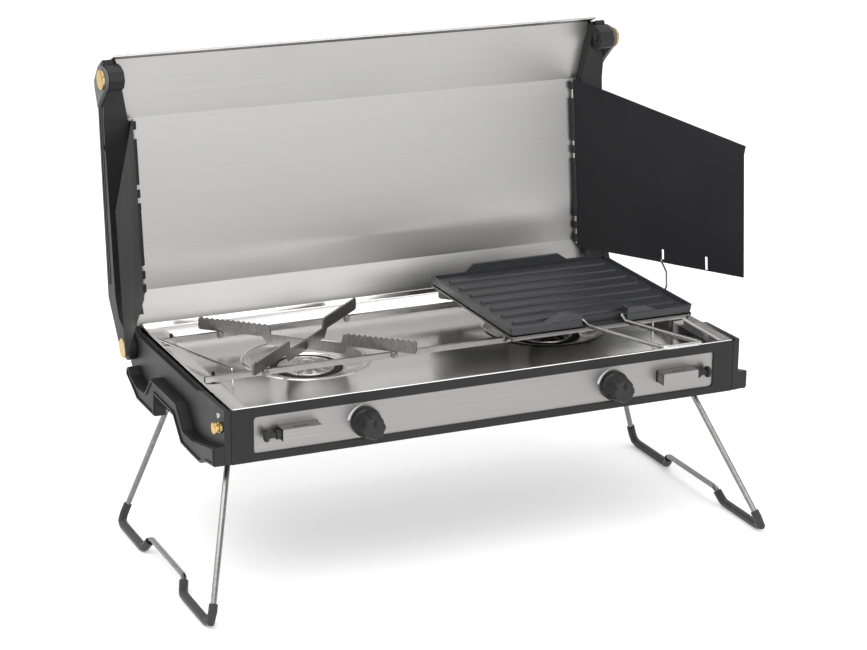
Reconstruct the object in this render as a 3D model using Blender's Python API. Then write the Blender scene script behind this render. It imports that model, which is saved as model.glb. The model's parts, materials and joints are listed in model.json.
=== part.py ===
# Two-burner camping stove: a flat suitcase body on folding wire legs, with an opening lid,
# two wind shields, a grate with two saw-toothed pot supports and a ribbed griddle.
# Working frame (millimetres in the constants): X to the right, Y to the back, Z up.
# The front face of the body is y = 0 and the underside of the body is z = 0.
# One root empty moves that frame so that the feet stand on world z = 0, centred in plan.
import bpy
import bmesh
import math
from mathutils import Matrix, Vector

MM = 0.001
GAP = 0.3

# body
HALF_W = 235.0
PANEL_HALF = 229.2
BODY_H = 46.1
BODY_D = 236.0
PANEL_T = 1.2
WINDOW_X = 210.0
WINDOW_Z = (6.6, 37.7)
CAP_IN = 231.0
CAP_TOP = 46.8
CAP_TOP_LOW = 42.3
RIB_OUT = 243.5

# cooktop
TOP_Z = 46.9
SHELF_Z = 43.1
FLOOR_Z = 33.0
SHEET = 0.8
BURNER_X = 113.6
BURNER_Y = 131.0
WELL_R = 50.0
HOLE_R = 31.0

# controls
KNOB_X = 113.7
KNOB_Z = 20.6
KNOB_R = 13.6
KNOB_LEN = 20.5
IGN_X = (155.8, 189.4)
IGN_Z = (17.4, 27.9)
IGN_OUT = 10.6

# grate
RAIL_HALF = 223.5
RAIL_Y = (76.2, 183.0)
RAIL_W = 3.8
RAIL_Z = (43.5, 48.3)
ARM_X = 73.0
ARM_Y = 67.0
ARM_T = 1.8
ARM_Z = (48.7, 60.0)
NECK_Z = (41.6, 50.4)
TEETH = 13

# griddle
GR_X = (32.6, 208.0)
GR_Y = (34.0, 201.0)
GR_Z = 60.3
GR_WALL = 64.0
GR_PLATE = 68.0
GR_RIM = 70.5
GR_EAR = 76.0
RIBS = 7
HANDLE_Y = 40.0
HANDLE_Z = 68.0
HANDLE_R = 1.9

# legs
LEG_AXIS = (213.0, -4.4)
LEG_R = 2.5
SLEEVE_R = 3.9
FOOT_X = 256.3
FOOT_Z = -125.6
LEG_TOP_Y = (50.9, 191.3)
LEG_FOOT_Y = (-21.6, 214.9)
FLOOR = -FOOT_Z + SLEEVE_R

# lid
PIVOT = (230.2, 28.6)
LID_HALF = 232.0
LID_CAP_IN = 219.0
LID_CAP_OUT = 242.0
LID_PATH = [(274.0, 275.0), (283.0, 271.0), (287.1, 217.5), (268.8, 66.4), (262.0, 41.0), (256.0, 22.0)]
LATCH = (264.5, 258.5)

# wind shields: flat sheets, swung outward past square, hinged on a line that leans with the lid
SHIELD_X = 214.0
SHIELD_ORIGIN = (273.7, 140.5)
SHIELD_LEAN = math.atan2(0.1202, 0.9927)
SHIELD_OPEN = math.radians(22.2)
SHIELD_T = 1.0
SHIELD_EDGE = [(2.1, -81.0), (195.3, -91.2), (197.5, 19.6), (199.5, 27.6), (41.5, 68.6), (2.1, 78.0)]
SHIELD_SLOTS = [(103.9, -83.3, -74.0), (153.8, -88.1, -76.1)]
SLOT_W = 2.8

# prop wires
PROP_FOOT = (197.0, 84.0)
PROP_R = 1.0

MATS = {
    "steel": ((0.62, 0.61, 0.59), 0.32, 1.0),
    "plate_steel": ((0.55, 0.55, 0.54), 0.38, 1.0),
    "grate_steel": ((0.42, 0.41, 0.40), 0.40, 1.0),
    "black_paint": ((0.035, 0.035, 0.037), 0.50, 0.0),
    "shield_paint": ((0.022, 0.022, 0.024), 0.60, 0.0),
    "plastic": ((0.030, 0.030, 0.032), 0.55, 0.0),
    "rubber": ((0.015, 0.015, 0.015), 0.80, 0.0),
    "wire": ((0.60, 0.60, 0.60), 0.25, 1.0),
    "brass": ((0.72, 0.52, 0.20), 0.28, 1.0),
    "coating": ((0.045, 0.045, 0.052), 0.45, 0.0),
}


def clear_scene():
    for ob in list(bpy.data.objects):
        bpy.data.objects.remove(ob, do_unlink=True)


def material(name):
    mat = bpy.data.materials.get(name)
    if mat:
        return mat
    colour, rough, metal = MATS[name]
    mat = bpy.data.materials.new(name)
    mat.use_nodes = True
    shader = mat.node_tree.nodes["Principled BSDF"]
    shader.inputs["Base Color"].default_value = (*colour, 1.0)
    shader.inputs["Roughness"].default_value = rough
    shader.inputs["Metallic"].default_value = metal
    mat.diffuse_color = (*colour, 1.0)
    return mat


def solid(verts, faces):
    mesh = bpy.data.meshes.new("solid")
    mesh.from_pydata([Vector(v) for v in verts], [], faces)
    bm = bmesh.new()
    bm.from_mesh(mesh)
    bmesh.ops.remove_doubles(bm, verts=bm.verts, dist=1e-5)
    bmesh.ops.recalc_face_normals(bm, faces=bm.faces)
    bm.to_mesh(mesh)
    bm.free()
    return mesh


def box(lo, hi):
    x0, y0, z0 = lo
    x1, y1, z1 = hi
    verts = [(x, y, z) for x in (x0, x1) for y in (y0, y1) for z in (z0, z1)]
    faces = [(0, 1, 3, 2), (4, 6, 7, 5), (0, 4, 5, 1), (2, 3, 7, 6), (0, 2, 6, 4), (1, 5, 7, 3)]
    return solid(verts, faces)


def prism(outline, axis, a0, a1):
    """Extrude an outline from a0 to a1 along x, y or z; the outline holds the other two axes in order."""
    def place(p, a):
        if axis == "x":
            return (a, p[0], p[1])
        if axis == "y":
            return (p[0], a, p[1])
        return (p[0], p[1], a)
    n = len(outline)
    verts = [place(p, a0) for p in outline] + [place(p, a1) for p in outline]
    faces = [tuple(range(n)), tuple(range(2 * n - 1, n - 1, -1))]
    faces += [(i, (i + 1) % n, n + (i + 1) % n, n + i) for i in range(n)]
    return solid(verts, faces)


def loft(rings, closed=False):
    """Skin a row of rings that have the same number of points; the ends are capped unless closed."""
    n = len(rings[0])
    verts = [p for ring in rings for p in ring]
    faces = []
    spans = len(rings) if closed else len(rings) - 1
    for k in range(spans):
        a = k * n
        b = ((k + 1) % len(rings)) * n
        faces += [(a + i, a + (i + 1) % n, b + (i + 1) % n, b + i) for i in range(n)]
    if not closed:
        faces.append(tuple(range(n)))
        last = (len(rings) - 1) * n
        faces.append(tuple(range(last + n - 1, last - 1, -1)))
    return solid(verts, faces)


def lathe(profile, axis, centre, segs=24, closed=False):
    """Turn (radius, height) points about an axis through centre. A radius of 0 closes on the axis."""
    def place(r, h, t):
        c = r * math.cos(t)
        s = r * math.sin(t)
        if axis == "x":
            return (centre[0] + h, centre[1] + c, centre[2] + s)
        if axis == "y":
            return (centre[0] + c, centre[1] + h, centre[2] + s)
        return (centre[0] + c, centre[1] + s, centre[2] + h)
    rings = []
    for r, h in profile:
        rings.append([place(max(r, 0.0), h, 2 * math.pi * i / segs) for i in range(segs)])
    verts = []
    index = []
    for (r, h), ring in zip(profile, rings):
        if r <= 0:
            index.append([len(verts)] * segs)
            verts.append(place(0, h, 0))
        else:
            index.append(list(range(len(verts), len(verts) + segs)))
            verts += ring
    faces = []
    pairs = list(zip(range(len(index) - 1), range(1, len(index))))
    if closed:
        pairs.append((len(index) - 1, 0))
    for a, b in pairs:
        for i in range(segs):
            j = (i + 1) % segs
            quad = [index[a][i], index[a][j], index[b][j], index[b][i]]
            quad = [q for k, q in enumerate(quad) if q != quad[k - 1]]
            if len(quad) > 2:
                faces.append(tuple(quad))
    if not closed:
        for row in (index[0], index[-1]):
            if row[0] != row[1]:
                faces.append(tuple(row))
    return solid(verts, faces)


def fillet(points, radius, steps=3):
    """Round the corners of a polyline."""
    pts = [Vector(p) for p in points]
    out = [pts[0]]
    for a, b, c in zip(pts, pts[1:], pts[2:]):
        u = (a - b).normalized()
        v = (c - b).normalized()
        half = math.acos(max(-1.0, min(1.0, u.dot(v)))) / 2
        cut = min(radius / math.tan(half), 0.45 * (a - b).length, 0.45 * (c - b).length)
        for k in range(steps + 1):
            t = k / steps
            p = b + u * cut * (1 - t) ** 2 + v * cut * t ** 2
            out.append(p)
    out.append(pts[-1])
    return out


def sweep_rings(path, radius, segs):
    pts = [Vector(p) for p in path]
    rings = []
    first = (pts[1] - pts[0]).normalized()
    side = first.orthogonal().normalized()
    for k, p in enumerate(pts):
        before = (p - pts[k - 1]).normalized() if k else first
        after = (pts[k + 1] - p).normalized() if k < len(pts) - 1 else before
        tangent = (before + after).normalized()
        stretch = 1.0 / max(0.3, tangent.dot(before))
        side = (side - before * side.dot(before)).normalized()
        other = before.cross(side)
        bend = (after - before)
        ring = []
        for i in range(segs):
            t = 2 * math.pi * i / segs
            d = side * math.cos(t) + other * math.sin(t)
            # slide each point along the incoming direction onto the mitre plane
            d = d - before * (d.dot(tangent) / max(0.3, before.dot(tangent)))
            ring.append(p + d * radius)
        rings.append(ring)
        if bend.length > 1e-6:
            turn = before.rotation_difference(after)
            side = turn @ side
    return rings


def tube(path, radius, segs=10, inner=None):
    outer = sweep_rings(path, radius, segs)
    if inner is None:
        return loft(outer)
    bore = sweep_rings(path, inner, segs)
    return loft(outer + bore[::-1], closed=True)


def strip(path, thick, axis, a0, a1, side=1):
    """Bent sheet metal: an open path thickened to one side, then extruded."""
    pts = [Vector(p) for p in path]
    other = []
    for k, p in enumerate(pts):
        before = (p - pts[k - 1]).normalized() if k else (pts[1] - pts[0]).normalized()
        after = (pts[k + 1] - p).normalized() if k < len(pts) - 1 else before
        n1 = Vector((-before.y, before.x)) * side
        n2 = Vector((-after.y, after.x)) * side
        n = (n1 + n2).normalized()
        other.append(p + n * (thick / max(0.3, n.dot(n1))))
    return prism([tuple(p) for p in pts] + [tuple(p) for p in reversed(other)], axis, a0, a1)


def boolean(mesh, tools, kind):
    base = bpy.data.objects.new("base", mesh)
    bpy.context.collection.objects.link(base)
    for tool in tools:
        cutter = bpy.data.objects.new("tool", tool)
        bpy.context.collection.objects.link(cutter)
        mod = base.modifiers.new("b", "BOOLEAN")
        mod.operation = kind
        mod.solver = "EXACT"
        mod.object = cutter
        graph = bpy.context.evaluated_depsgraph_get()
        graph.update()
        result = bpy.data.meshes.new_from_object(base.evaluated_get(graph))
        base.modifiers.clear()
        base.data = result
        bpy.data.objects.remove(cutter, do_unlink=True)
    result = base.data
    bpy.data.objects.remove(base, do_unlink=True)
    return tidy(result)


def tidy(mesh):
    bm = bmesh.new()
    bm.from_mesh(mesh)
    bmesh.ops.remove_doubles(bm, verts=bm.verts, dist=1e-4)
    bmesh.ops.dissolve_limit(bm, angle_limit=0.001, verts=bm.verts, edges=bm.edges)
    bmesh.ops.triangulate(bm, faces=[f for f in bm.faces if len(f.verts) > 4])
    bmesh.ops.recalc_face_normals(bm, faces=bm.faces)
    bm.to_mesh(mesh)
    bm.free()
    return mesh


def union(*meshes):
    return boolean(meshes[0], meshes[1:], "UNION")


def cut(mesh, *tools):
    return boolean(mesh, tools, "DIFFERENCE")


def rod(axis, centre, radius, a0, a1, segs=16):
    return lathe([(radius, a0), (radius, a1)], axis, centre, segs)


def mirrored(mesh):
    copy = mesh.copy()
    copy.transform(Matrix.Diagonal((-1, 1, 1, 1)))
    copy.flip_normals()
    return copy


ROOT = None


def node(name, mesh, mat, origin=(0, 0, 0), rotation=None, smooth=False):
    """Make a named piece whose mesh is given in the working frame; its origin goes to its joint."""
    frame = Matrix.Translation(Vector(origin))
    if rotation is not None:
        frame = frame @ rotation.to_4x4()
    mesh.transform(frame.inverted())
    mesh.transform(Matrix.Scale(MM, 4))
    mesh.name = name
    mesh.materials.clear()
    mesh.materials.append(material(mat))
    ob = bpy.data.objects.new(name, mesh)
    bpy.context.collection.objects.link(ob)
    ob.parent = ROOT
    ob.location = Vector(origin) * MM
    if rotation is not None:
        ob.rotation_euler = rotation.to_euler()
    if smooth:
        mesh.shade_smooth()
        mesh.set_sharp_from_angle(angle=math.radians(35))
    return ob


def pair(name, mesh, mat, origin=(0, 0, 0), smooth=False):
    """The right-hand piece as given, and its mirror image on the left."""
    left = mirrored(mesh)
    node(name + "_right", mesh, mat, origin, None, smooth)
    node(name + "_left", left, mat, (-origin[0], origin[1], origin[2]), None, smooth)


def make_root():
    global ROOT
    ROOT = bpy.data.objects.new("stove_root", None)
    bpy.context.collection.objects.link(ROOT)
    ROOT.location = (0, 0, FLOOR * MM)


def stand_on_origin():
    """Slide the root so that the stove is centred in plan over the world origin and stands on z = 0."""
    bpy.context.view_layer.update()
    points = [ob.matrix_world @ v.co for ob in ROOT.children for v in ob.data.vertices]
    low = [min(p[k] for p in points) for k in range(3)]
    high = [max(p[k] for p in points) for k in range(3)]
    ROOT.location.x -= (low[0] + high[0]) / 2
    ROOT.location.y -= (low[1] + high[1]) / 2
    ROOT.location.z -= low[2]
    bpy.context.view_layer.update()


def rounded_rect(x0, x1, y0, y1, r, steps=4):
    pts = []
    corners = ((x1 - r, y0 + r, -90), (x1 - r, y1 - r, 0), (x0 + r, y1 - r, 90), (x0 + r, y0 + r, 180))
    for cx, cy, t0 in corners:
        for k in range(steps + 1):
            t = math.radians(t0 + 90 * k / steps)
            pts.append((cx + r * math.cos(t), cy + r * math.sin(t)))
    return pts


def make_body():
    pan = strip([(1.6, 0.0), (BODY_D, 0.0), (BODY_D, BODY_H - 1)], 1.2, "x", -PANEL_HALF, PANEL_HALF, 1)
    pan = cut(pan, rod("y", (165, 0, 14), 3.9, BODY_D - 5, BODY_D + 5))
    node("base_pan", pan, "black_paint")

    panel = box((-PANEL_HALF, 0, 0), (PANEL_HALF, PANEL_T, BODY_H - 0.3))
    hole = rounded_rect(-WINDOW_X, WINDOW_X, WINDOW_Z[0], WINDOW_Z[1], 3.0)
    panel = cut(panel, prism(hole, "y", -3, 4))
    node("front_panel", panel, "black_paint")

    plate = box((-213, 1.5, 3.6), (213, 2.5, 40.7))
    holes = [rod("y", (s * KNOB_X, 0, KNOB_Z), 3.6, -2, 5) for s in (-1, 1)]
    node("control_plate", cut(plate, *holes), "plate_steel")


def make_cooktop():
    """A pressed pan: folded edge, side shelves for the rails, sloping walls and two burner wells."""
    loops = [
        rounded_rect(-228.6, 228.6, 0.1, 235.6, 1.5, 1),
        rounded_rect(-226.6, 226.6, 2.1, 233.6, 1.5, 1),
        rounded_rect(-225.6, 225.6, 3.2, 232.6, 1.5, 1),
        rounded_rect(-212.0, 212.0, 5.0, 230.0, 3.0, 1),
        rounded_rect(-203.0, 203.0, 22.0, 216.0, 8.0, 1),
    ]
    heights = [TOP_Z, TOP_Z, SHELF_Z, SHELF_Z - 0.6, FLOOR_Z]
    bm = bmesh.new()
    rows = []
    for loop, z in zip(loops, heights):
        rows.append([bm.verts.new((x, y, z)) for x, y in loop])
    for a, b in zip(rows, rows[1:]):
        n = len(a)
        for i in range(n):
            bm.faces.new((a[i], a[(i + 1) % n], b[(i + 1) % n], b[i]))
    edges = []
    last = rows[-1]
    for i in range(len(last)):
        edges.append(bm.edges.get((last[i], last[(i + 1) % len(last)])))

    def ring(cx, cy, r, z, n):
        pts = []
        for i in range(n):
            t = 2 * math.pi * i / n
            pts.append(bm.verts.new((cx + r * math.cos(t), cy + r * math.sin(t), z)))
        return pts

    def close(row):
        out = []
        for i in range(len(row)):
            pair_v = (row[i], row[(i + 1) % len(row)])
            out.append(bm.edges.get(pair_v) or bm.edges.new(pair_v))
        return out

    for s in (-1, 1):
        well = [ring(s * BURNER_X, BURNER_Y, r, z, 32) for r, z in
                ((WELL_R, FLOOR_Z), (46.0, 30.0), (37.0, 28.4), (HOLE_R, 25.4))]
        for a, b in zip(well, well[1:]):
            for i in range(32):
                bm.faces.new((a[i], a[(i + 1) % 32], b[(i + 1) % 32], b[i]))
        edges += close(well[0])
        edges += close(ring(s * PROP_FOOT[0], PROP_FOOT[1], 1.5, FLOOR_Z, 8))
    bmesh.ops.triangle_fill(bm, edges=edges, use_beauty=True)
    bmesh.ops.recalc_face_normals(bm, faces=bm.faces)
    up = sum(f.normal.z * f.calc_area() for f in bm.faces)
    if up < 0:
        bmesh.ops.reverse_faces(bm, faces=bm.faces)
    # thicken downward: a copy of the sheet, dropped by its own thickness, joined along every open edge
    border = [e for e in bm.edges if e.is_boundary]
    sheet = bm.faces[:]
    corners = bm.verts[:]
    twin = {v: bm.verts.new(v.co - Vector((0, 0, SHEET))) for v in corners}
    for f in sheet:
        bm.faces.new([twin[v] for v in reversed(f.verts)])
    for e in border:
        a, b = e.verts
        bm.faces.new((a, b, twin[b], twin[a]))
    bmesh.ops.recalc_face_normals(bm, faces=bm.faces)
    mesh = bpy.data.meshes.new("cooktop")
    bm.to_mesh(mesh)
    bm.free()
    node("cooktop", mesh, "steel", smooth=True)


def make_end_caps():
    side = [(0.0, 0.4), (8.0, 0.0), (228.0, 0.0), (240.0, 12.0), (240.0, CAP_TOP), (222.0, CAP_TOP),
            (214.0, CAP_TOP_LOW), (66.0, CAP_TOP_LOW), (54.0, CAP_TOP - 1.4), (0.0, CAP_TOP)]
    wall = prism(side, "x", CAP_IN, HALF_W)
    corner = [(0.0, 0.4), (0.0, BODY_H - 0.2), (26, BODY_H - 4.6), (26, 0.4)]
    front = prism(corner, "x", PANEL_HALF + GAP, CAP_IN + 1)
    rear = box((PANEL_HALF + GAP, 218.0, 0.4), (CAP_IN + 1, 239.0, BODY_H - 4.6))
    upper = [(0.3, 16.8), (52.0, 5.6), (74.4, 5.7), (91.8, 24.3), (157.0, 24.3), (172.0, 8.0), (177.3, 5.6),
             (196.3, 4.7), (212.0, 9.0), (217.5, 15.6)]
    lower = [(224.0, 13.2), (224.5, 6.4), (211.0, 0.3), (196.0, -7.5), (150.0, -7.5), (148.5, 12.0),
             (103.0, 11.7), (99.5, 11.0), (80.5, -7.4), (56.0, -8.0), (34.0, -8.0), (21.0, -2.5), (0.3, 0.6)]
    rib = prism(upper + lower, "x", HALF_W - 1.5, RIB_OUT)
    ledge = box((229.0, 25.0, 36.0), (CAP_IN + 1, 219.0, 44.0))
    cap = union(wall, front, rear, rib, ledge)
    pivot = rod("x", (0, *PIVOT), 3.3, 225, 250)
    screw = rod("x", (0, 12.4, 38.9), 1.7, 225, 250, 12)
    stud = rod("x", (0, 6.6, 31.0), 2.3, 225, 250, 12)
    cap = cut(cap, pivot, screw)
    left = mirrored(cut(cap.copy(), stud))
    node("end_cap_right", cap, "plastic")
    node("end_cap_left", left, "plastic")

    spool = [(0, 0), (1.9, 0), (1.9, 6.3), (4.5, 6.3), (4.5, 8.4), (2.9, 8.8), (2.9, 10.4), (5.0, 10.8),
             (5.0, 12.6), (4.4, 13.2), (0, 13.2)]
    node("latch_stud_left", mirrored(lathe(spool, "x", (229.0, 6.6, 31.0), 16)), "brass", smooth=True)


def make_burners():
    for s, side in ((-1, "left"), (1, "right")):
        centre = (s * BURNER_X, BURNER_Y, 0)
        cup = [(0, 8.0), (29.3, 8.0), (29.3, 26.2), (27.8, 26.2), (27.8, 9.4), (0, 9.4)]
        node("burner_cup_" + side, lathe(cup, "z", centre, 24), "black_paint", smooth=True)
        cap = [(27.2, 9.8), (27.2, 27.0), (25.0, 28.6), (0, 29.8), (0, 28.8), (24.6, 27.6), (26.0, 26.4),
               (26.0, 9.8)]
        node("burner_cap_" + side, lathe(cap, "z", centre, 24, closed=True), "plate_steel", smooth=True)
        mix = [(5.0, 35.0), (5.0, 101.2), (4.1, 101.2), (4.1, 35.0)]
        horn = lathe(mix, "y", (s * BURNER_X, 0, 19.0), 16, closed=True)
        node("venturi_" + side, horn, "wire", smooth=True)
        body = box((s * KNOB_X - 9, 3.6, 12), (s * KNOB_X + 9, 25.0, 29.5))
        stem = rod("y", (s * KNOB_X, 0, KNOB_Z), 3.0, -13.0, 6.0, 16)
        node("valve_" + side, union(body, stem), "brass")
    pipe = fillet([(165, 231.8, 14), (165, 30, 14), (-126, 30, 14)], 8)
    node("gas_manifold", tube(pipe, 4.0, 12), "brass", smooth=True)
    inlet = [(0, -3.2), (3.5, -3.2), (3.5, 1.2), (7.0, 1.2), (7.0, 5.0), (5.0, 5.6), (5.0, 14.0),
             (3.6, 15.0),
             (2.2, 15.0), (2.2, 4.0), (0, 4.0)]
    node("gas_inlet", lathe(inlet, "y", (165, BODY_D - 0.6, 14), 16), "brass", smooth=True)


def make_knobs():
    segs = 28

    def lobed(r, h, depth):
        pts = []
        for i in range(segs):
            t = 2 * math.pi * i / segs
            k = r * (1 - depth * (0.5 - 0.5 * math.cos(7 * t)))
            pts.append((k * math.cos(t), h, k * math.sin(t)))
        return pts
    for s, side in ((-1, "left"), (1, "right")):
        rows = [(3.3, -13.6, 0), (3.3, -0.6, 0), (KNOB_R, -0.6, 0.0), (KNOB_R, -3.4, 0.0),
                (KNOB_R - 0.6, -4.6, 0.07),
                (KNOB_R - 2.2, -KNOB_LEN + 1.4, 0.12), (KNOB_R - 3.6, -KNOB_LEN, 0.10)]
        rings = [lobed(*row) for row in rows]
        rings = [[(x + s * KNOB_X, y, z + KNOB_Z) for x, y, z in ring] for ring in rings]
        node("knob_" + side, loft(rings), "plastic", origin=(s * KNOB_X, 0, KNOB_Z), smooth=True)


def make_igniters():
    x0, x1 = IGN_X
    z0, z1 = IGN_Z
    shell = box((x0, -IGN_OUT, z0), (x1, 1.2, z1))
    hollow = box((x0 + 0.9, -IGN_OUT + 0.9, z0 + 0.9), (x1 + 2, 0.3, z1 - 0.9))
    pair("igniter_housing", cut(shell, hollow), "plate_steel")
    y = -4.9
    z = (z0 + z1) / 2
    spool = [(0, 0), (3.4, 0), (3.4, 8.0), (4.0, 8.0), (4.0, 12.5), (2.6, 12.9), (2.6, 19.0), (4.9, 19.4),
             (4.9, 21.6), (4.3, 22.2), (0, 22.2)]
    button = lathe(spool, "x", (181.0, y, z), 16)
    pair("igniter_button", button, "plastic", origin=(203.2, y, z), smooth=True)


def make_grate():
    for name, y in zip(("rail_front", "rail_rear"), RAIL_Y):
        node(name, box((-RAIL_HALF, y, RAIL_Z[0]), (RAIL_HALF, y + RAIL_W, RAIL_Z[1])), "grate_steel")
    half = math.hypot(ARM_X, ARM_Y)
    lap = (NECK_Z[0] + NECK_Z[1]) / 2

    def outline(slot_up):
        """Half-strip profile in (distance, height), mirrored about the crossing."""
        inner = 32.0
        slot = 1.35
        top = [(slot, NECK_Z[1]), (inner, NECK_Z[1] + 0.4), (inner + 1.5, ARM_Z[1] - 1.6)]
        pitch = (half - inner - 4.0) / TEETH
        for k in range(TEETH):
            a = inner + 3.0 + k * pitch
            top += [(a, ARM_Z[1] - 1.6), (a + pitch * 0.72, ARM_Z[1])]
        top += [(half, ARM_Z[1] - 1.6)]
        bottom = [(half, ARM_Z[0] + 1.5), (half - 1.5, ARM_Z[0]), (inner + 8.0, ARM_Z[0]),
                  (inner + 2.5, NECK_Z[0]), (slot, NECK_Z[0])]
        if slot_up:
            right = [(slot, lap - 0.15)] + top + bottom
            right[-1] = (0.0, NECK_Z[0])
            right = [(0.0, lap - 0.15)] + right
            return right + [(-a, b) for a, b in reversed(right)][1:-1]
        right = [(0.0, NECK_Z[1])] + top[1:] + bottom + [(slot, lap + 0.15), (0.0, lap + 0.15)]
        return right + [(-a, b) for a, b in reversed(right)][1:-1]

    for s, side in ((-1, "left"), (1, "right")):
        for d, label in ((1, "a"), (-1, "b")):
            mesh = prism(outline(d == 1), "y", -ARM_T / 2, ARM_T / 2)
            turn = Matrix.Rotation(math.atan2(d * ARM_Y, ARM_X), 4, "Z")
            mesh.transform(Matrix.Translation((s * BURNER_X, BURNER_Y, 0)) @ turn)
            node("pot_support_" + side + "_" + label, mesh, "grate_steel")


def make_griddle():
    x0, x1 = GR_X
    y0, y1 = GR_Y

    def ring(inset, z):
        loop = rounded_rect(x0 + inset, x1 - inset, y0 + inset, y1 - inset, 4.0, 2)
        return [(x, y, z) for x, y in loop]

    tray = loft([ring(8.0, GR_Z), ring(0.9, GR_WALL), ring(0.0, GR_RIM)])
    well = prism(rounded_rect(x0 + 2.8, x1 - 2.8, y0 + 4.0, y1 - 3.6, 3.0, 2), "z", GR_PLATE, GR_RIM + 5)
    body = cut(tray, well)
    ribs = []
    for k in range(RIBS):
        y = 53.0 + k * 21.0
        profile = [(y - 1.9, GR_PLATE - 1), (y + 1.9, GR_PLATE - 1), (y + 1.2, GR_PLATE + 1.8),
                   (y - 1.2, GR_PLATE + 1.8)]
        ribs.append(prism(profile, "x", 43.0, 198.0))
    back = prism([(64.0, GR_RIM - 2), (172.0, GR_RIM - 2), (170.0, GR_RIM), (160.5, GR_EAR + 1),
                  (74.7, GR_EAR + 1), (66.0, GR_RIM)], "y", y1 - 3.4, y1 - 0.2)
    ear_l = prism([(66.0, GR_RIM - 4), (99.5, GR_RIM - 4), (99.5, GR_EAR - 1), (96.0, GR_EAR),
                   (84.0, GR_EAR), (70.0, GR_RIM)], "y", y0 + 0.4, y0 + 11)
    ear_r = prism([(143.5, GR_RIM - 4), (176.0, GR_RIM - 4), (172.0, GR_RIM), (160.0, GR_EAR),
                   (147.0, GR_EAR), (143.5, GR_EAR - 1)], "y", y0 + 0.4, y0 + 11)
    notch = box((99.9, y0 - 2, HANDLE_Z - 5.0), (143.1, y0 + 10.5, GR_RIM + 4))
    body = union(body, back, ear_l, ear_r, *ribs)
    bore = rod("x", (0, HANDLE_Y, HANDLE_Z), HANDLE_R + GAP, 93.0, 150.0, 12)
    node("griddle", cut(body, notch, bore), "coating")

    y, z = HANDLE_Y, HANDLE_Z
    left = [(94.5, y, z), (102.6, y, z), (103.8, y - 10.5, z - 2.6)]
    loop = [left[-1], (103.8, -98.73, 86.0), (138.0, -98.73, 86.0), (139.6, y - 10.5, z - 2.6)]
    right = [loop[-1], (140.6, y, z), (148.5, y, z)]
    wire = fillet(left, 3.0, 2)[:-1] + fillet(loop, 5.0, 2) + fillet(right, 3.0, 2)[1:]
    node("griddle_handle", tube(wire, HANDLE_R, 8), "wire", origin=(121.5, y, z), smooth=True)


def make_legs():
    ax, az = LEG_AXIS
    lean = (FOOT_X - ax) / (az - FOOT_Z)

    def at(z, y):
        return (ax + (az - z) * lean, y, z)
    raised = FOOT_Z + 11.6
    knots = [at(az, LEG_TOP_Y[0] + 19), at(az, LEG_TOP_Y[0]), at(FOOT_Z, LEG_FOOT_Y[0]),
             at(FOOT_Z, 47.5), at(raised, 56.0), at(raised, 140.5), at(FOOT_Z, 150.0),
             at(FOOT_Z, LEG_FOOT_Y[1]), at(az, LEG_TOP_Y[1]), at(az, LEG_TOP_Y[1] - 19)]
    wire = fillet(knots, 7.0, 2)
    pair("leg_wire", tube(wire, LEG_R, 8), "wire", origin=(ax, 0, az), smooth=True)

    def up_the_leg(corner, top, far):
        c = Vector(corner)
        return c + (Vector(top) - c).normalized() * far

    front = [up_the_leg(knots[2], knots[1], 18.0), Vector(knots[2]), Vector(knots[3]),
             up_the_leg(knots[3], knots[4], 11.5)]
    back = [up_the_leg(knots[6], knots[5], 11.5), Vector(knots[6]), Vector(knots[7]),
            up_the_leg(knots[7], knots[8], 18.0)]
    for label, ends in (("front", front), ("rear", back)):
        whole = fillet(knots, 7.0, 2)
        if label == "front":
            inside = [p for p in whole if p.y < 52.5 and p.z < ends[0].z - 2]
        else:
            inside = [p for p in whole if p.y > 144.5 and p.z < ends[-1].z - 2]
        cut_path = [ends[0]] + inside + [ends[-1]]
        sleeve = tube(cut_path, SLEEVE_R, 8, LEG_R + GAP)
        pair("foot_sleeve_" + label, sleeve, "rubber", origin=(ax, 0, az), smooth=True)

    plate = box((ax - 8, 58.0, -1.4), (ax + 8, 184.0, -GAP))
    lugs = [box((ax - 4.2, y, az - 4.4), (ax + 4.2, y + 8, -0.6)) for y in (58.0, 176.0)]
    bores = [rod("y", (ax, 0, az), LEG_R + GAP, 50, 192, 16)]
    pair("leg_bracket", cut(union(plate, *lugs), *bores), "black_paint")


def offset_line(path, far):
    out = []
    pts = [Vector(p) for p in path]
    for k, p in enumerate(pts):
        before = (p - pts[k - 1]).normalized() if k else (pts[1] - pts[0]).normalized()
        after = (pts[k + 1] - p).normalized() if k < len(pts) - 1 else before
        n = (Vector((before.y, -before.x)) + Vector((after.y, -after.x))).normalized()
        out.append(p + n * far)
    return out


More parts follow.
